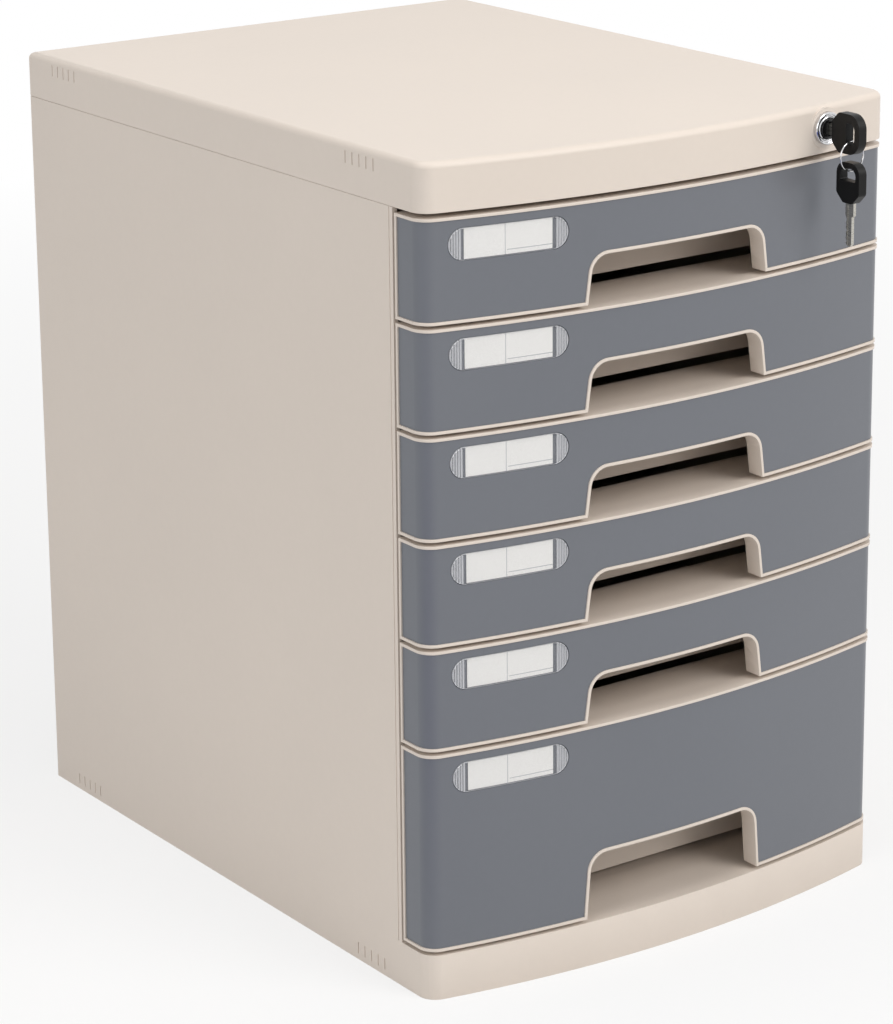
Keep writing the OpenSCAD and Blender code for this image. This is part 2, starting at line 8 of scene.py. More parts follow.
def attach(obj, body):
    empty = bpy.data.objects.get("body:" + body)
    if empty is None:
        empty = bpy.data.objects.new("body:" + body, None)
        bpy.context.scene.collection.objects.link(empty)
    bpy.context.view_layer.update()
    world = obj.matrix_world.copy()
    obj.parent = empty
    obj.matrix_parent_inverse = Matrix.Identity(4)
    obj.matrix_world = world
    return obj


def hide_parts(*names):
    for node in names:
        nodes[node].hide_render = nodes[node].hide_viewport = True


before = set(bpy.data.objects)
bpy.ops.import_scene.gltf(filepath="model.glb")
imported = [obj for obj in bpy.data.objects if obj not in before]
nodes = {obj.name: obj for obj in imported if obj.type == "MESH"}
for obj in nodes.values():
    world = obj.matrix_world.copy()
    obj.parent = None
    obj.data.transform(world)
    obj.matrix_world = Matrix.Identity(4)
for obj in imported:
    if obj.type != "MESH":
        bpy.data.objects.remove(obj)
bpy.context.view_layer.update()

# ---- Base ----
# The base is a shallow cream moulding of impact polystyrene, open below, with ribs and
# screw bosses inside. The cabinet's sides stand on it and are screwed down from below.
MM = 0.001
HALF = 147.5
DEPTH = 394.0
CREAM = (0.868, 0.824, 0.782)


class Wire:
    """A value in a finish's node tree. Sums, differences and products of wires add Math nodes."""

    def __init__(self, socket):
        self.socket = socket

    def node(self, kind, settings=(), inputs=(), out=0):
        made = self.socket.id_data.nodes.new(kind)
        for name, value in dict(settings).items():
            setattr(made, name, value)
        for name, value in dict(inputs).items():
            if isinstance(value, Wire):
                self.socket.id_data.links.new(value.socket, made.inputs[name])
            else:
                made.inputs[name].default_value = value
        return Wire(made.outputs[out])

    def beside(self, out):
        """Another output of the same node."""
        return Wire(self.socket.node.outputs[out])

    def noise(self, scale, detail):
        return self.node("ShaderNodeTexNoise", inputs={"Vector": self, "Scale": scale, "Detail": detail})

    def ramp(self, *stops):
        """Runs the value through colours. Each stop is a value and its colour."""
        toned = self.node("ShaderNodeValToRGB", inputs={0: self})
        for stop, (at, colour) in zip(toned.socket.node.color_ramp.elements, stops):
            stop.position, stop.color = at, (*colour, 1)
        return toned

    def bump(self, distance):
        return self.node("ShaderNodeBump", inputs={"Height": self, "Distance": distance, "Strength": 1.0})

    def math(self, operation, a, b=0.0):
        return self.node("ShaderNodeMath", {"operation": operation}, {0: a, 1: b})

    def __add__(self, other):
        return self.math("ADD", self, other)

    def __mul__(self, other):
        return self.math("MULTIPLY", self, other)

    def __sub__(self, other):
        return self.math("SUBTRACT", self, other)

    def __rsub__(self, other):
        return self.math("SUBTRACT", other, self)

    def __gt__(self, other):
        return self.math("GREATER_THAN", self, other)

    def __lt__(self, other):
        return self.math("LESS_THAN", self, other)

    __radd__ = __add__
    __rmul__ = __mul__


def linear(colour):
    return [((c + 0.055) / 1.055) ** 2.4 for c in colour]


def start_finish(name, **constants):
    """A new material, its shader, and the wire that carries the piece's own coordinates."""
    material = bpy.data.materials.new(name)
    material.use_nodes = True
    shader = material.node_tree.nodes["Principled BSDF"]
    for socket, value in constants.items():
        shader.inputs[socket.replace("_", " ")].default_value = value
    place = material.node_tree.nodes.new("ShaderNodeTexCoord").outputs["Object"]
    return material, shader, Wire(place)


def wired(material, shader, **wires):
    """Links wires to the shader's sockets and gives the finished material."""
    for socket, wire in wires.items():
        material.node_tree.links.new(wire.socket, shader.inputs[socket.replace("_", " ")])
    return material


def moulded(name, colour, gloss, drift=0.02, grain=0.02, pitch=0.35, **constants):
    """Injection-moulded plastic: a slow drift of tone, an etched grain and a slightly uneven gloss."""
    material, shader, place = start_finish(name, **constants)
    flow, speck = place.noise(7.0, 3.0), place.noise(260.0, 2.0)
    pale = [min(c * (1 + drift), 1) for c in linear(colour)]
    deep = [c * (1 - drift) for c in linear(colour)]
    tone = (0.75 * flow + 0.25 * speck).ramp((0.3, deep), (0.7, pale))
    etched = place.noise(1 / (pitch * MM), 2.0).bump(grain * MM)
    return wired(material, shader, Base_Color=tone, Roughness=gloss - 0.04 + 0.08 * flow, Normal=etched)


def soften(node, width, finish):
    """A CAD node stays, with its edges rounded as a mould rounds them."""
    piece = nodes[node]
    weld = piece.modifiers.new("joined_edges", "WELD")
    weld.merge_threshold = 1e-6
    bevel = piece.modifiers.new("mould_radius", "BEVEL")
    bevel.width, bevel.segments, bevel.harden_normals = width * MM, 2, True
    bevel.limit_method, bevel.angle_limit = "ANGLE", math.radians(35)
    refinish(node, finish)


def refinish(node, finish):
    nodes[node].data.materials.clear()
    nodes[node].data.materials.append(finish)


cream = moulded("cream_polystyrene", CREAM, 0.46)
soften("base", 0.5, cream)

# ---- Feet ----
# Four black rubber feet are pressed into pockets under the base. Each is a low disc with
# a rounded rim and a shallow ring in its tread.
FOOT_INSET, FOOT_ROWS = 34, (-30, -337)
FOOT_PROFILE = [(0, 3), (7.9, 3), (7.9, 0.5), (7.4, 0), (5.8, 0), (5.4, 0.35), (4.6, 0.35), (4.2, 0), (0, 0)]


def turned(bm, profile, steps, spot, axis="Z"):
    """Turns a profile of (radius, distance along the axis) about an upright axis or one along Y."""
    points = [Vector((r, 0, h)) if axis == "Z" else Vector((r, h, 0)) for r, h in profile]
    made = [bm.verts.new(p * MM) for p in points]
    edges = [bm.edges.new(pair) for pair in zip(made, made[1:])]
    if profile[0][0] and profile[-1][0]:
        edges.append(bm.edges.new((made[-1], made[0])))
    line = Vector((0, 0, 1)) if axis == "Z" else Vector((0, 1, 0))
    bmesh.ops.spin(
        bm, geom=made + edges, cent=(0, 0, 0), axis=line, angle=math.tau, steps=steps, use_merge=True
    )
    bmesh.ops.remove_doubles(bm, verts=bm.verts, dist=1e-7)
    fresh = [v for v in bm.verts if not v.tag]
    bmesh.ops.translate(bm, verts=fresh, vec=Vector(spot) * MM)
    for v in fresh:
        v.tag = True


def settle(bm, name, body, slot, finish, *stands_for, angle=32):
    """Makes the mesh a piece that rides on its body and stands for its CAD nodes."""
    bmesh.ops.recalc_face_normals(bm, faces=bm.faces)
    mesh = bpy.data.meshes.new(name)
    bm.to_mesh(mesh)
    bm.free()
    mesh.shade_smooth()
    mesh.set_sharp_from_angle(angle=math.radians(angle))
    piece = bpy.data.objects.new(name, mesh)
    bpy.context.scene.collection.objects.link(piece)
    mesh.materials.append(finish)
    weighted = piece.modifiers.new("even_shading", "WEIGHTED_NORMAL")
    weighted.keep_sharp = True
    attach(piece, body)
    if stands_for:
        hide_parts(*stands_for)


rubber = moulded("foot_rubber", (0.13, 0.13, 0.135), 0.72, drift=0.1, grain=0.05, pitch=0.5)
bm = bmesh.new()
for side in (-1, 1):
    for y in FOOT_ROWS:
        turned(bm, FOOT_PROFILE, 40, (side * (HALF - FOOT_INSET), y, 0))
settle(bm, "rubber_feet", "casing", "rubber", rubber, "feet")

# ---- Screws ----
# Zinc-plated cross-head screws hold the sides to the base, the back panel and the cover's
# rear edge. A third kind holds the cam on the lock's plug. The CAD's own heads are kept.
material, shader, place = start_finish("zinc_plate", Metallic=1.0)
dull = place.noise(900.0, 3.0)
tint = dull.ramp((0.3, (0.50, 0.50, 0.50)), (0.7, (0.62, 0.62, 0.61)))
zinc = wired(material, shader, Base_Color=tint, Roughness=0.28 + 0.18 * dull)
for node in ("base_screws", "back_screws", "cam_screw"):
    refinish(node, zinc)

# ---- Sides and back ----
# Flat moulded panels in the same cream plastic. The sides carry the runner rails for the
# drawers on the inside, and the back slides between them and is screwed on.
for node in ("side_left", "side_right", "back_panel"):
    soften(node, 0.45, cream)

# ---- Cover ----
# The cover is a deep lid with a generous radius round its top, moulded with ribs inside.
# Five upright grip marks are sunk near each end of its sides, and the lock sits in its front.
BOW = (HALF**2 + 17.0**2) / (2 * 17.0)
BOW_Y = BOW - DEPTH
CORNER = 10.0
CORNER_X = HALF - CORNER
CORNER_Y = BOW_Y - math.sqrt((BOW - CORNER) ** 2 - CORNER_X**2)
TURN = math.atan2(CORNER_X, BOW_Y - CORNER_Y)
COVER_Z, TOP_Z = 405.0, 430.0
TOP_RADIUS, LOWER_RADIUS = 3.5, 0.5
SKIRT_THICK, TOP_THICK = 2.3, 2.8
LONG_RIBS, CROSS_RIBS = (-98.33, -49.17, 0, 49.17), (-125.7, -251.3)
RIB_HALF, RIB_LOW, RIB_HIGH = 1, 419.5, 427.5
RIB_LEFT, RIB_RIGHT, RIB_FRONT, RIB_BACK = -145, 128.7, -336, -2.5
MARK_STARTS, MARK_PITCH, MARK_HALF, MARK_DEEP = (-25.8, -314.3), 6, 0.35, 0.5
MARK_LOW, MARK_HIGH = 419.8, 426
LOCK_X, LOCK_Z = 97.0, 418.3
LOCK_Y = BOW_Y - math.sqrt(BOW**2 - LOCK_X**2)
BOSS_R, BOSS_LONG, BOSS_IN = 10.5, 9.5, 3.3
RIM_HOLE_R, RIM_CUT, RIM_SEAT = 8.55, 21.7, 1.7
BARREL_HOLE_R, BARREL_CUT = 7.0, 40


def outline(bm, z):
    """The casing's outline as one flat face, drawn by turning a point about the middle of each arc."""
    first = point = bm.verts.new(Vector((-HALF, 0, z)) * MM)
    after = bm.verts.new(Vector((-HALF, CORNER_Y, z)) * MM)
    bm.edges.new((point, after))
    point = after
    for x, y, angle, steps in (
        (-CORNER_X, CORNER_Y, math.pi / 2 - TURN, 12),
        (0, BOW_Y, 2 * TURN, 84),
        (CORNER_X, CORNER_Y, math.pi / 2 - TURN, 12),
    ):
        drawn = bmesh.ops.spin(
            bm, geom=[point], cent=Vector((x, y, z)) * MM, axis=(0, 0, 1), angle=angle, steps=steps
        )
        point = next(g for g in drawn["geom_last"] if isinstance(g, bmesh.types.BMVert))
    last = bm.verts.new(Vector((HALF, 0, z)) * MM)
    bm.edges.new((point, last))
    bm.edges.new((last, first))
    return bmesh.ops.contextual_create(bm, geom=bm.edges[:])["faces"][0]


def raised(bm, faces, height):
    """Extrudes faces and moves the new ones by a height along Z, or by a vector."""
    vec = height if isinstance(height, Vector) else Vector((0, 0, height))
    drawn = bmesh.ops.extrude_face_region(bm, geom=faces)["geom"]
    bmesh.ops.translate(bm, verts=[g for g in drawn if isinstance(g, bmesh.types.BMVert)], vec=vec * MM)


def rounded(bm, edges, radius, segments, affect="EDGES"):
    bmesh.ops.bevel(
        bm, geom=edges, offset=radius * MM, segments=segments, profile=0.5, affect=affect, material=-1,
        clamp_overlap=True,
    )


def level_edges(bm, z):
    return [e for e in bm.edges if all(abs(v.co.z - z * MM) < 1e-6 for v in e.verts)]


def bar(bm, low, high):
    """A closed bar between two corners."""
    size = Vector(high) - Vector(low)
    place = Matrix.Translation((Vector(low) + Vector(high)) / 2 * MM) @ Matrix.Diagonal((*(size * MM), 1))
    bmesh.ops.create_cube(bm, size=1, matrix=place)


def rod(bm, spot, radius, length, segments):
    """A closed rod along Y about a middle."""
    bmesh.ops.create_cone(
        bm, cap_ends=True, segments=segments, radius1=radius * MM, radius2=radius * MM, depth=length * MM,
        matrix=Matrix.Translation(Vector(spot) * MM) @ Matrix.Rotation(math.pi / 2, 4, "X"),
    )


def carved(bm, tools):
    """The mesh with the tools' shapes cut out of it. Both are used up."""
    pair = []
    for part in (bm, tools):
        bmesh.ops.recalc_face_normals(part, faces=part.faces)
        mesh = bpy.data.meshes.new("blank")
        part.to_mesh(mesh)
        part.free()
        pair.append(bpy.data.objects.new("blank", mesh))
        bpy.context.scene.collection.objects.link(pair[-1])
    cut = pair[0].modifiers.new("cut", "BOOLEAN")
    cut.operation, cut.solver, cut.object = "DIFFERENCE", "EXACT", pair[1]
    seen = pair[0].evaluated_get(bpy.context.evaluated_depsgraph_get())
    result = bmesh.new()
    result.from_mesh(seen.to_mesh())
    for blank in pair:
        mesh = blank.data
        bpy.data.objects.remove(blank)
        bpy.data.meshes.remove(mesh)
    bmesh.ops.remove_doubles(result, verts=result.verts, dist=2e-7)
    return result


bm = bmesh.new()
bottom = outline(bm, COVER_Z)
raised(bm, [bottom], TOP_Z - COVER_Z)
bmesh.ops.recalc_face_normals(bm, faces=bm.faces)
rounded(bm, level_edges(bm, TOP_Z), TOP_RADIUS, 6)
rounded(bm, level_edges(bm, COVER_Z), LOWER_RADIUS, 2)
bmesh.ops.recalc_face_normals(bm, faces=bm.faces)
bottom = max((f for f in bm.faces if f.normal.z < -0.99), key=lambda f: f.calc_area())
bmesh.ops.inset_region(bm, faces=[bottom], thickness=SKIRT_THICK * MM, use_even_offset=True)
raised(bm, [bottom], TOP_Z - COVER_Z - TOP_THICK)
for x in LONG_RIBS:
    bar(bm, (x - RIB_HALF, RIB_FRONT, RIB_LOW), (x + RIB_HALF, RIB_BACK, RIB_HIGH))
for y in CROSS_RIBS:
    bar(bm, (RIB_LEFT, y - RIB_HALF, RIB_LOW), (RIB_RIGHT, y + RIB_HALF, RIB_HIGH))
rod(bm, (LOCK_X, LOCK_Y + BOSS_IN, LOCK_Z), BOSS_R, BOSS_LONG, 48)
tools = bmesh.new()
for side in (-1, 1):
    for start in MARK_STARTS:
        for k in range(5):
            y = start - MARK_PITCH * k
            low_corner = (side * HALF - MARK_DEEP, y - MARK_HALF, MARK_LOW)
            bar(tools, low_corner, (side * HALF + MARK_DEEP, y + MARK_HALF, MARK_HIGH))
rod(tools, (LOCK_X, LOCK_Y + RIM_SEAT - RIM_CUT / 2, LOCK_Z), RIM_HOLE_R, RIM_CUT, 64)
rod(tools, (LOCK_X, LOCK_Y, LOCK_Z), BARREL_HOLE_R, BARREL_CUT, 64)
settle(carved(bm, tools), "cover_moulding", "casing", "beige_plastic", cream, "cover")

# ---- Drawers ----
# Behind each bowed front, with its rounded bead, deck and gussets, an open tray stands on
# runner strips. All of them are moulded in the same cream plastic with small radii.
for number in range(1, 7):
    soften(f"front_{number}", 0.42, cream)
    soften(f"tray_{number}", 0.42, cream)
    soften(f"runners_{number}", 0.3, cream)

# ---- Facings ----
# A grey satin panel is pressed into the bead of each front and follows its bow and corners.
# It has a finger notch in its lower edge and a shallow pocket for the label window.
SHALLOW, FRONT_GAP, COVER_GAP = 52.3, 2.0, 2.5
TOPS = [round(COVER_Z - COVER_GAP - (SHALLOW + FRONT_GAP) * k, 1) for k in range(6)]
# Each front's lower edge, upper edge and the height of its notch. The last is the deep one.
FRONTS = [(round(high - SHALLOW, 1), high, 24.5) for high in TOPS[:5]] + [(26.0, TOPS[5], 35.0)]
BEAD = 1.5
# Distances inward from the front's bow: the facing's outer and inner face, and its pocket's floor.
FACE_OUT, FACE_IN, POCKET = 0.7, 2.2, 1.9
FACE_CORNER, FACE_EDGE = 1.0, 0.22
SIDE_END = -355.5
NOTCH_X, NOTCH_FOOT, NOTCH_ROUND_X, NOTCH_ROUND = -1.5, 56.5, 44.5, 10
BOW_RUN = BOW * TURN
CORNER_RUN = CORNER * (math.pi / 2 - TURN)
REACH = BOW_RUN + CORNER_RUN + SIDE_END - CORNER_Y
WINDOW_X, WINDOW_DROP = -101.5, 13.9
HOLE_LONG, HOLE_HIGH = 65.9, 16.5


def fold(bm):
    """Bends what was laid out flat along X round the casing's front. Y is the distance inward."""
    for v in bm.verts:
        run, inward, side = abs(v.co.x) / MM, v.co.y / MM, math.copysign(1, v.co.x)
        if run <= BOW_RUN:
            angle = run / BOW
            x, y = math.sin(angle) * (BOW - inward), BOW_Y - math.cos(angle) * (BOW - inward)
        elif run <= BOW_RUN + CORNER_RUN:
            angle = TURN + (run - BOW_RUN) / CORNER
            x = CORNER_X + math.sin(angle) * (CORNER - inward)
            y = CORNER_Y - math.cos(angle) * (CORNER - inward)
        else:
            x, y = HALF - inward, CORNER_Y + run - BOW_RUN - CORNER_RUN
        v.co.x, v.co.y = side * x * MM, y * MM


def flat_face(bm, points, y):
    made = [bm.verts.new(Vector((x, y, z)) * MM) for x, z in points]
    return bm.faces.new(made)


def box_points(left, low, right, high):
    return [(left, low), (right, low), (right, high), (left, high)]


def round_corners(bm, corners, offset, segments):
    """Rounds corners of a flat outline, each found by its place (x, z)."""
    spots = [Vector(c) * MM for c in corners]
    found = [v for v in bm.verts if any((Vector((v.co.x, v.co.z)) - s).length < 1e-6 for s in spots)]
    rounded(bm, found, offset, segments, affect="VERTICES")


def cut_across(bm, x):
    bmesh.ops.bisect_plane(
        bm, geom=bm.verts[:] + bm.edges[:] + bm.faces[:], plane_co=(x * MM, 0, 0), plane_no=(1, 0, 0),
        dist=1e-7,
    )


def cut_stations(bm, low, high, pitch=4.5):
    """Cuts a flat mesh across X, closely in the corners and widely in the bow, so that it can bend."""
    stations = [i * pitch for i in range(-round(140 / pitch), round(140 / pitch) + 1)]
    stations += [s * (BOW_RUN + CORNER_RUN * k / 10) for s in (-1, 1) for k in range(11)]
    for x in sorted(stations):
        if low < x < high:
            cut_across(bm, x)
    loose = [
        e for e in bm.edges
        if len(e.link_faces) == 2 and abs(e.verts[0].co.x - e.verts[1].co.x) > 1e-6
        and e.calc_face_angle() < 0.001
    ]
    bmesh.ops.dissolve_edges(bm, edges=loose, use_verts=False)


def notch_corners(top, grown):
    """The finger notch's foot and shoulder from its middle, its rise, slope and rounding offset."""
    foot, cz, r = NOTCH_FOOT + grown, top - NOTCH_ROUND, NOTCH_ROUND + grown
    across = foot - NOTCH_ROUND_X
    lean = math.atan2(-cz, across) + math.acos(r / math.hypot(across, cz))
    rise = top + grown
    return foot, foot - math.tan(lean) * rise, rise, math.tan(lean), r * math.tan((math.pi / 2 - lean) / 2)


def stadium(bm, middle, length, height, y, segments=10):
    """A flat face with round ends. The rounding stops just short of the middle and is joined there."""
    x, z = middle
    corners = box_points(x - length / 2, z - height / 2, x + length / 2, z + height / 2)
    flat_face(bm, corners, y)
    round_corners(bm, corners, height / 2 - 0.002, segments)
    bmesh.ops.remove_doubles(bm, verts=bm.verts, dist=5e-6)


def copied_rim(bm, hole):
    """Draws the outline of another mesh's only face and gives its edges. The other mesh is used up."""
    ring = [bm.verts.new(v.co) for v in hole.faces[:][0].verts]
    hole.free()
    return [bm.edges.new(pair) for pair in zip(ring, ring[1:] + ring[:1])]


def facing(low, high, top):
    bm = bmesh.new()
    foot, shoulder, rise, slope, offset = notch_corners(top, BEAD)
    left, right = -REACH + BEAD, REACH - BEAD
    points = [
        (left, low + BEAD), (NOTCH_X - foot + slope * BEAD, low + BEAD), (NOTCH_X - shoulder, low + rise),
        (NOTCH_X + shoulder, low + rise), (NOTCH_X + foot - slope * BEAD, low + BEAD), (right, low + BEAD),
        (right, high - BEAD), (left, high - BEAD),
    ]
    flat_face(bm, points, FACE_OUT)
    round_corners(bm, [points[2], points[3]], offset, 10)
    round_corners(bm, [points[0], points[5], points[6], points[7]], FACE_CORNER, 3)
    bmesh.ops.delete(bm, geom=bm.faces[:], context="FACES_ONLY")
    outer = bm.edges[:]
    hole = bmesh.new()
    stadium(hole, (WINDOW_X, high - WINDOW_DROP), HOLE_LONG, HOLE_HIGH, FACE_OUT)
    inner = copied_rim(bm, hole)
    bmesh.ops.triangle_fill(bm, use_beauty=True, use_dissolve=False, edges=outer + inner)
    for rims, depth in ((outer, FACE_IN - FACE_OUT), (inner, POCKET - FACE_OUT)):
        drawn = bmesh.ops.extrude_edge_only(bm, edges=rims)["geom"]
        moved = [g for g in drawn if isinstance(g, bmesh.types.BMVert)]
        bmesh.ops.translate(bm, verts=moved, vec=(0, depth * MM, 0))
        bmesh.ops.contextual_create(bm, geom=[g for g in drawn if isinstance(g, bmesh.types.BMEdge)])
    bmesh.ops.recalc_face_normals(bm, faces=bm.faces)
    front = [
        e for e in bm.edges
        if all(abs(v.co.y - FACE_OUT * MM) < 1e-7 for v in e.verts) and e.calc_face_angle(0) > 1
    ]
    rounded(bm, front, FACE_EDGE, 2)
    cut_stations(bm, left, right)
    fold(bm)
    return bm


grey = moulded(
    "grey_satin", (0.432, 0.438, 0.458), 0.33, drift=0.03, grain=0.012, pitch=0.25, IOR=1.56,
    Specular_Tint=(0.72, 0.84, 1.0, 1),
)
for number, (low, high, top) in enumerate(FRONTS, 1):
    bm = facing(low, high, top)
    settle(bm, f"facing_panel_{number}", f"drawer_{number}", "grey_plastic", grey, f"facing_{number}")

# ---- Label cards ----
# A white paper card lies in each pocket. It is ruled with one upright line and a fine
# writing line, and nothing is written on it.
CARD_LONG, CARD_HIGH = 48.0, 15.2
CARD_OUT, CARD_THICK = 1.6, 0.28
# The ruled lines, as shares of the card's length and height.
UPRIGHT_RULE, WRITING_RULE, WRITING_FROM = (0.455, 0.462), (0.135, 0.16), 0.48


def flat_map(bm, length, height, middle):
    """Notes each point's place on the label before it is bent. Its edge faces get a height of 2."""
    layer = bm.loops.layers.uv.new("flat")
    for f in bm.faces:
        for loop in f.loops:
            u = (loop.vert.co.x / MM - WINDOW_X) / length + 0.5
            v = (loop.vert.co.z / MM - middle) / height + 0.5
            loop[layer].uv = (u, v if abs(f.normal.y) > 0.8 else 2)


def across_and_up(place):
    """The wires that carry a label's flat map."""
    spot = place.node("ShaderNodeUVMap", {"uv_map": "flat"})
    across = place.node("ShaderNodeSeparateXYZ", inputs={0: spot})
    return across, across.beside(1)


material, shader, place = start_finish("ruled_card", Roughness=0.75)
across, up = across_and_up(place)
upright = (across > UPRIGHT_RULE[0]) * (across < UPRIGHT_RULE[1])
writing = (up > WRITING_RULE[0]) * (up < WRITING_RULE[1]) * (across > WRITING_FROM)
fibre = place.noise(1400.0, 3.0)
paper = fibre.ramp((0.3, (0.80, 0.79, 0.775)), (0.7, (0.87, 0.865, 0.85)))
lines = {0: upright + writing, 6: paper, 7: (0.42, 0.43, 0.46, 1)}
inked = place.node("ShaderNodeMix", {"data_type": "RGBA"}, lines, out=2)
card_paper = wired(material, shader, Base_Color=inked, Normal=fibre.bump(0.02 * MM))
for number, (low, high, top) in enumerate(FRONTS, 1):
    middle = high - WINDOW_DROP
    bm = bmesh.new()
    left, right = WINDOW_X - CARD_LONG / 2, WINDOW_X + CARD_LONG / 2
    face = flat_face(bm, box_points(left, middle - CARD_HIGH / 2, right, middle + CARD_HIGH / 2), CARD_OUT)
    raised(bm, [face], Vector((0, CARD_THICK, 0)))
    cut_stations(bm, left, right)
    bmesh.ops.recalc_face_normals(bm, faces=bm.faces)
    flat_map(bm, CARD_LONG, CARD_HIGH, middle)
    fold(bm)
    settle(bm, f"label_card_{number}", f"drawer_{number}", "card", card_paper, f"card_{number}")

# ---- Label windows ----
# A clear polystyrene window with round ends snaps into the pocket over the card. Its ends
# are ribbed, where it is pressed to slide it, and its rim is rounded. The rib crests and the
# rim carry a painted highlight: they are tinted paler and made more opaque where light would catch them.
WINDOW_LONG, WINDOW_HIGH = 64.9, 15.9
WINDOW_OUT, WINDOW_THICK, WINDOW_EDGE = 0.5, 1.08, 0.35
RIB_START, RIB_PITCH, RIB_DEEP, RIB_LINES = 26.4, 1.4, 0.3, 11
material, shader, place = start_finish("clear_polystyrene", IOR=1.5)
across, up = across_and_up(place)
# Painted highlight on the rim: the window's edge faces are tinted pale and made more opaque.
rim = up > 1.5
off = place.math("ABSOLUTE", across * WINDOW_LONG - WINDOW_LONG / 2)
ribbed = off > RIB_START - 0.5 * RIB_PITCH
crest = place.math("COSINE", (off - RIB_START) * (math.tau / RIB_PITCH))
# Painted highlight on the ribs: each rib's crest is tinted pale and more opaque, and the hollows between keep
# the window's grey.
rib_painted_highlight = ribbed * (0.5 + 0.5 * crest)
haze = place.noise(300.0, 2.0)
tint = (rib_painted_highlight + rim).ramp((0.0, (0.52, 0.53, 0.56)), (1.0, (0.90, 0.91, 0.95)))
clear = wired(
    material, shader, Base_Color=tint, Roughness=0.05 + 0.07 * haze,
    Alpha=0.05 + 0.12 * ribbed + 0.3 * rib_painted_highlight + 0.5 * rim,
)
for number, (low, high, top) in enumerate(FRONTS, 1):
    middle = high - WINDOW_DROP
    bm = bmesh.new()
    stadium(bm, (WINDOW_X, middle), WINDOW_LONG, WINDOW_HIGH, WINDOW_OUT)
    raised(bm, bm.faces[:], Vector((0, WINDOW_THICK, 0)))
    bmesh.ops.recalc_face_normals(bm, faces=bm.faces)
    edge = [e for e in bm.edges if all(abs(v.co.y - WINDOW_OUT * MM) < 1e-7 for v in e.verts)]
    rounded(bm, edge, WINDOW_EDGE, 2)
    cut_stations(bm, WINDOW_X - WINDOW_LONG / 2, WINDOW_X + WINDOW_LONG / 2)
    for k in range(RIB_LINES):
        for side in (-1, 1):
            x = WINDOW_X + side * (RIB_START + RIB_PITCH * (k - 1) / 2)
            cut_across(bm, x)
            for v in bm.verts:
                on_front = v.co.y < (WINDOW_OUT + RIB_DEEP) * MM
                if abs(v.co.x / MM - x) < 1e-4 and not k % 2 and on_front:
                    v.co.y += RIB_DEEP * MM
    bmesh.ops.recalc_face_normals(bm, faces=bm.faces)
    flat_map(bm, WINDOW_LONG, WINDOW_HIGH, middle)
    fold(bm)
    settle(
        bm, f"label_window_{number}", f"drawer_{number}", "clear_plastic", clear, f"window_{number}", angle=20
    )

# ---- Lock ----
# A small cam lock: a chromed die-cast barrel with a stepped rim, held by a spring clip,
# and a black plug whose cam works the bar behind the drawers' fronts.
BARREL = [
    (5.5, 28), (5.5, -3.1), (5.8, -3.3), (6.2, -3.1), (6.6, -2.5), (7.0, -2.5), (7.4, -3.7), (7.7, -3.9),
    (8.1, -3.85), (8.4, -3.5), (8.5, -3.0), (8.5, 1.7), (6.95, 1.7), (6.95, 8), (6.25, 8), (6.25, 9.2),
    (6.95, 9.2), (6.95, 28),
]
PLUG_OUT = 4.4
PLUG = [(0, -PLUG_OUT), (4.7, -PLUG_OUT), (5.2, -4.2), (5.45, -3.8), (5.45, 28.3), (0, 28.3)]
KEYWAY_HALF, KEYWAY_REACH, KEYWAY_END = 1.15, 3.8, 20.6
material, shader, place = start_finish("chrome_plate", Metallic=1.0)
swirl = place.noise(1200.0, 2.0)
tint = swirl.ramp((0.2, (0.60, 0.60, 0.61)), (0.8, (0.74, 0.74, 0.75)))
chrome = wired(material, shader, Base_Color=tint, Roughness=0.08 + 0.1 * swirl)
bm = bmesh.new()
turned(bm, BARREL, 72, (LOCK_X, LOCK_Y, LOCK_Z), axis="Y")
settle(bm, "lock_rim", "casing", "bright_metal", chrome, "lock_barrel")
black_gloss = moulded("black_plug", (0.075, 0.075, 0.08), 0.22, drift=0.08, grain=0.01, pitch=0.4)
bm = bmesh.new()
turned(bm, PLUG, 56, (LOCK_X, LOCK_Y, LOCK_Z), axis="Y")
tools = bmesh.new()
low_corner = (LOCK_X - KEYWAY_HALF, LOCK_Y - 6, LOCK_Z - KEYWAY_REACH)
bar(tools, low_corner, (LOCK_X + KEYWAY_HALF, LOCK_Y + KEYWAY_END, LOCK_Z + KEYWAY_REACH))
settle(carved(bm, tools), "lock_plug_turned", "plug", "black_plug", black_gloss, "lock_plug")
for node in ("lock_clip", "lock_cam", "lock_bar", "lock_arm", "lock_tabs"):
    soften(node, 0.12, zinc)

# ---- Keys ----
# Two flat keys with black moulded grips. One stands in the lock, and the other hangs from
# it on a split ring of spring wire. The blades are nickel-plated brass, milled on one edge.
GRIP_THICK, GRIP_GAP = 5.1, 4
PLUG_FACE = LOCK_Y - PLUG_OUT
NECK_Y = PLUG_FACE - GRIP_GAP
KEY_LONG, SPARE_LONG = 20.5, 21.0
RING_FROM_END, SLOT_HALF, GRIP_HALF = 7.8, 6, 22.3 / 2
RING_Y = NECK_Y - KEY_LONG + RING_FROM_END
GRIP_BAR_Z = ((LOCK_Z - SLOT_HALF) + (LOCK_Z - GRIP_HALF)) / 2
RING_Z, RING_R = GRIP_BAR_Z - 2.8, 7.6
RING_WIRE_R, RING_TURNS, RING_SHIFT, RING_STEPS = 0.31, math.radians(705), 0.56, 150
SLOT_ABOVE_RING, SPARE_BAR = 1.55, 3
SPARE_TOP = RING_Z - RING_R + SLOT_ABOVE_RING + SPARE_BAR
BLADE_LONG, BLADE_BUTT, BLADE_THICK = 22.5, -7.5, 1.8
SHANK_HALF, SHANK_END, SLOPE_END = 3, 6.5, 7.2
EDGE_LOW, EDGE_HIGH = -2.4, 1.8
CUT_START, CUT_PITCH = 9.0, 2.7


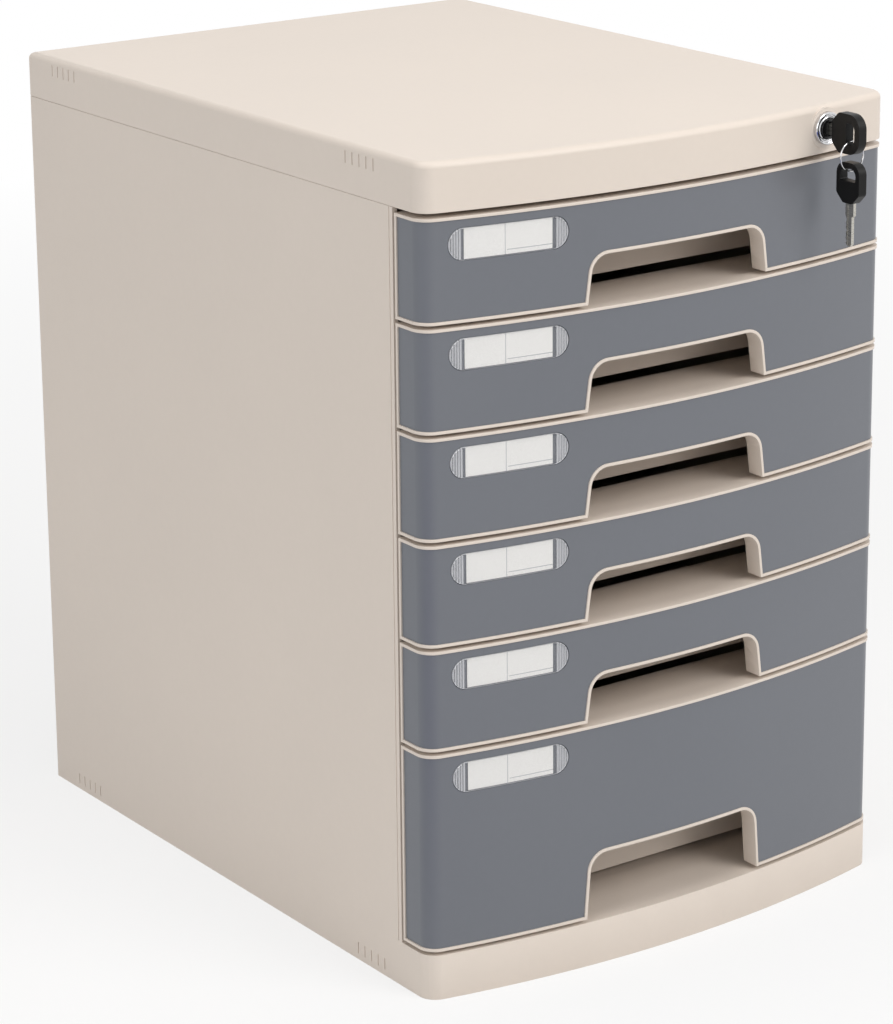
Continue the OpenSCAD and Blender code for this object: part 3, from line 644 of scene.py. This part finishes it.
def key_grip(long, high, near, far, slot):
    """A grip laid flat with its neck at 0, running to -Y, Z across it, with a slot near its round end."""
    bm = bmesh.new()
    outer = [
        (0, -high / 2 + near), (-near, -high / 2), (-long, -high / 2),
        (-long, high / 2), (-near, high / 2), (0, high / 2 - near),
    ]
    flat_face(bm, outer, 0)
    round_corners(bm, outer[2:4], far, 8)
    round_corners(bm, outer[:2] + outer[4:], 0.9, 3)
    bmesh.ops.delete(bm, geom=bm.faces[:], context="FACES_ONLY")
    rims = bm.edges[:]
    start, end, width = slot
    corners = box_points(-end, -width / 2, -start, width / 2)
    hole = bmesh.new()
    flat_face(hole, corners, 0)
    round_corners(hole, [corners[0], corners[3]], min(far, width / 2) * 0.62, 6)
    round_corners(hole, corners[1:3], 0.8, 3)
    rims += copied_rim(bm, hole)
    bmesh.ops.triangle_fill(bm, use_beauty=True, use_dissolve=False, edges=rims)
    raised(bm, bm.faces[:], Vector((0, GRIP_THICK, 0)))
    bmesh.ops.recalc_face_normals(bm, faces=bm.faces)
    rounded(bm, [e for e in bm.edges if e.calc_face_angle(0) > 1], 0.5, 3)
    turn = Matrix.Rotation(math.pi / 2, 4, "Z") @ Matrix.Scale(-1, 4, (0, 1, 0))
    shift = Matrix.Translation((-GRIP_THICK / 2 * MM, 0, 0))
    bmesh.ops.transform(bm, matrix=shift @ turn, verts=bm.verts)
    return bm


def key_blade(long):
    """A blade laid flat from inside the grip along +Y, with milled cuts on one edge and a groove."""
    bm = bmesh.new()
    lower = [(BLADE_BUTT, -SHANK_HALF), (SHANK_END, -SHANK_HALF), (SLOPE_END, EDGE_LOW)]
    soft = []
    for k in range(5):
        at, deep = CUT_START + CUT_PITCH * k, 0.9 - (k % 2) * 0.35
        lower += [(at - deep, EDGE_LOW), (at, EDGE_LOW + deep), (at + deep, EDGE_LOW)]
        soft += lower[-3:]
    tip = [(long - 1.5, EDGE_LOW), (long, -1.2), (long, 0.9), (long - 1.2, EDGE_HIGH)]
    upper = [(SLOPE_END, EDGE_HIGH), (SHANK_END, SHANK_HALF), (BLADE_BUTT, SHANK_HALF)]
    flat_face(bm, lower + tip + upper, -BLADE_THICK / 2)
    round_corners(bm, soft, 0.28, 2)
    raised(bm, bm.faces[:], Vector((0, BLADE_THICK, 0)))
    bmesh.ops.recalc_face_normals(bm, faces=bm.faces)
    rounded(bm, [e for e in bm.edges if e.calc_face_angle(0) > 1 and e.calc_length() > 0.5 * MM], 0.1, 1)
    tools = bmesh.new()
    bar(tools, (1.2, -1.3, -0.5), (long + 1, -0.55, 0.5))
    bar(tools, (1.2, 0.55, -1.4), (long + 1, 1.3, -0.7))
    bm = carved(bm, tools)
    bmesh.ops.transform(bm, matrix=Matrix.Rotation(math.pi / 2, 4, "Z"), verts=bm.verts)
    return bm


grip_black = moulded(
    "grip_black", (0.055, 0.055, 0.055), 0.4, drift=0.12, grain=0.03, pitch=0.3, Specular_IOR_Level=0.22
)
material, shader, place = start_finish("nickel_plate", Metallic=1.0)
brushed = place.node("ShaderNodeMapping", inputs={"Vector": place, "Scale": (2200.0, 240.0, 2200.0)})
streak = brushed.noise(1.0, 2.0)
tint = streak.ramp((0.3, (0.42, 0.405, 0.36)), (0.7, (0.60, 0.585, 0.54)))
nickel = wired(material, shader, Base_Color=tint, Roughness=0.2 + 0.2 * streak)
in_lock = Matrix.Translation(Vector((LOCK_X, NECK_Y, LOCK_Z)) * MM)
hanging = Matrix.Translation(Vector((LOCK_X, RING_Y, SPARE_TOP - SPARE_LONG)) * MM) @ Matrix(
    ((1, 0, 0, 0), (0, 0, -1, 0), (0, -1, 0, 0), (0, 0, 0, 1))
)
for place_at, sizes, body, grip_node, blade_node in (
    (in_lock, (KEY_LONG, 20.6, 5, 7.6, (10.7, 16.9, 11.4)), "key", "key_grip", "key_blade"),
    (hanging, (SPARE_LONG, 17, 5, 6.0, (11.5, 18, 11.4)), "spare_key", "spare_grip", "spare_blade"),
):
    bm = key_grip(*sizes)
    bmesh.ops.transform(bm, matrix=place_at, verts=bm.verts)
    settle(bm, grip_node + "_moulded", body, "black_plastic", grip_black, grip_node)
    bm = key_blade(BLADE_LONG)
    bmesh.ops.transform(bm, matrix=place_at, verts=bm.verts)
    settle(bm, blade_node + "_milled", body, "key_metal", nickel, blade_node)

bm = bmesh.new()
wire_end = Matrix.Translation(Vector((RING_R, -RING_SHIFT / 2, 0)) * MM)
bmesh.ops.create_circle(bm, cap_ends=True, segments=12, radius=RING_WIRE_R * MM, matrix=wire_end)
bmesh.ops.spin(
    bm, geom=bm.faces[:] + bm.edges[:] + bm.verts[:], cent=(0, 0, 0), axis=(0, 1, 0), angle=RING_TURNS,
    steps=RING_STEPS, dvec=(0, RING_SHIFT * MM / RING_STEPS, 0),
)
bmesh.ops.translate(bm, verts=bm.verts, vec=Vector((LOCK_X, RING_Y, RING_Z)) * MM)
settle(bm, "split_ring", "ring", "ring_wire", chrome, "key_ring")

# ---- Floor and lamps ----
# A plain pale floor that fades into the white behind it, and three wide soft lamps. A dark
# blue patch of floor left of the fronts is seen in reflections alone, in the facings' corners.
WHITE, BLUE = (1, 1, 1, 1), (0.02, 0.06, 0.5, 1)
BLUE_PLACE = (-0.62, -0.74, 0)
ROOM_LIGHT = 0.36
AIMED_AT = Vector((0, -0.2, 0.2))
bm = bmesh.new()
bmesh.ops.create_circle(bm, cap_ends=True, segments=64, radius=4.0)
mesh = bpy.data.meshes.new("floor")
bm.to_mesh(mesh)
bm.free()
floor = bpy.data.objects.new("floor", mesh)
bpy.context.scene.collection.objects.link(floor)
material, shader, place = start_finish("floor_paper", Base_Color=(0.82, 0.82, 0.82, 1), Roughness=0.9)


def seen_straight(wire):
    """One on a ray from the camera, and on one that a gloss or a clear piece sends on."""
    paths = wire.node("ShaderNodeLightPath")
    looked, shone, through = (paths.beside(f"Is {kind} Ray") for kind in ("Camera", "Glossy", "Transmission"))
    return wire.math("MAXIMUM", wire.math("MAXIMUM", looked, shone), through)


def spread(distance, near, far, at_near, at_far):
    """A value that runs evenly between two distances."""
    ends = {"From Min": near, "From Max": far, "To Min": at_near, "To Max": at_far}
    return distance.node("ShaderNodeMapRange", inputs={"Value": distance, **ends})


far_off = place.node("ShaderNodeVectorMath", {"operation": "LENGTH"}, {0: place}, out=1)
fade = spread(far_off, 0.5, 1.6, 0.72, 1.0)
aside = place.node("ShaderNodeVectorMath", {"operation": "DISTANCE"}, {0: place, 1: BLUE_PLACE}, out=1)
patch = spread(aside, 0.25, 0.6, 1.0, 0.0)
in_gloss = place.node("ShaderNodeLightPath").beside("Is Glossy Ray")
shade = place.node("ShaderNodeMix", {"data_type": "RGBA"}, {0: patch * in_gloss, 6: WHITE, 7: BLUE}, out=2)
glow = place.node("ShaderNodeEmission", inputs={"Color": shade, "Strength": 1.0})
mixed = place.node(
    "ShaderNodeMixShader", inputs={0: seen_straight(place) * fade, 1: Wire(shader.outputs[0]), 2: glow}
)
material.node_tree.links.new(mixed.socket, material.node_tree.nodes["Material Output"].inputs["Surface"])
floor.data.materials.append(material)

world = bpy.data.worlds.new("room")
bpy.context.scene.world = world
world.use_nodes = True
tree = world.node_tree
room = Wire(tree.nodes["Background"].outputs[0])
room.socket.node.inputs["Color"].default_value = (1.0, 0.99, 0.975, 1)
room.socket.node.inputs["Strength"].default_value = ROOM_LIGHT
white = room.node("ShaderNodeBackground", inputs={"Color": WHITE, "Strength": 1.0})
mixed = room.node("ShaderNodeMixShader", inputs={0: seen_straight(room), 1: room, 2: white})
tree.links.new(mixed.socket, tree.nodes["World Output"].inputs["Surface"])

for name, spot, size, power, colour in (
    ("front_lamp", (0.9, -2.4, 1.9), 1.8, 41, (1, 0.985, 0.965)),
    ("top_lamp", (-0.2, -0.4, 2.8), 1.8, 25.5, (1, 0.99, 0.975)),
    ("side_lamp", (-2.4, -0.9, 1.2), 1.6, 15, (0.97, 0.985, 1)),
):
    lamp = bpy.data.lights.new(name, "AREA")
    lamp.shape, lamp.size, lamp.energy, lamp.color = "DISK", size, power, colour
    held = bpy.data.objects.new(name, lamp)
    bpy.context.scene.collection.objects.link(held)
    held.location = spot
    held.rotation_euler = (AIMED_AT - Vector(spot)).to_track_quat("-Z", "Y").to_euler()

# ---- Camera ----
# The camera stands where the photograph was taken from, left of the front and above it.
camera = bpy.data.cameras.new("camera")
camera.lens, camera.shift_x, camera.shift_y = 123.09883, 0.0, -0.15
stand = bpy.data.objects.new("camera", camera)
bpy.context.scene.collection.objects.link(stand)
stand.location = (-1.07088, -1.69891, 0.77369)
stand.rotation_euler = [math.radians(a) for a in (74.77885, 0.51899, -35.50226)]
bpy.context.scene.camera = stand
bpy.context.scene.view_settings.view_transform = "Standard"
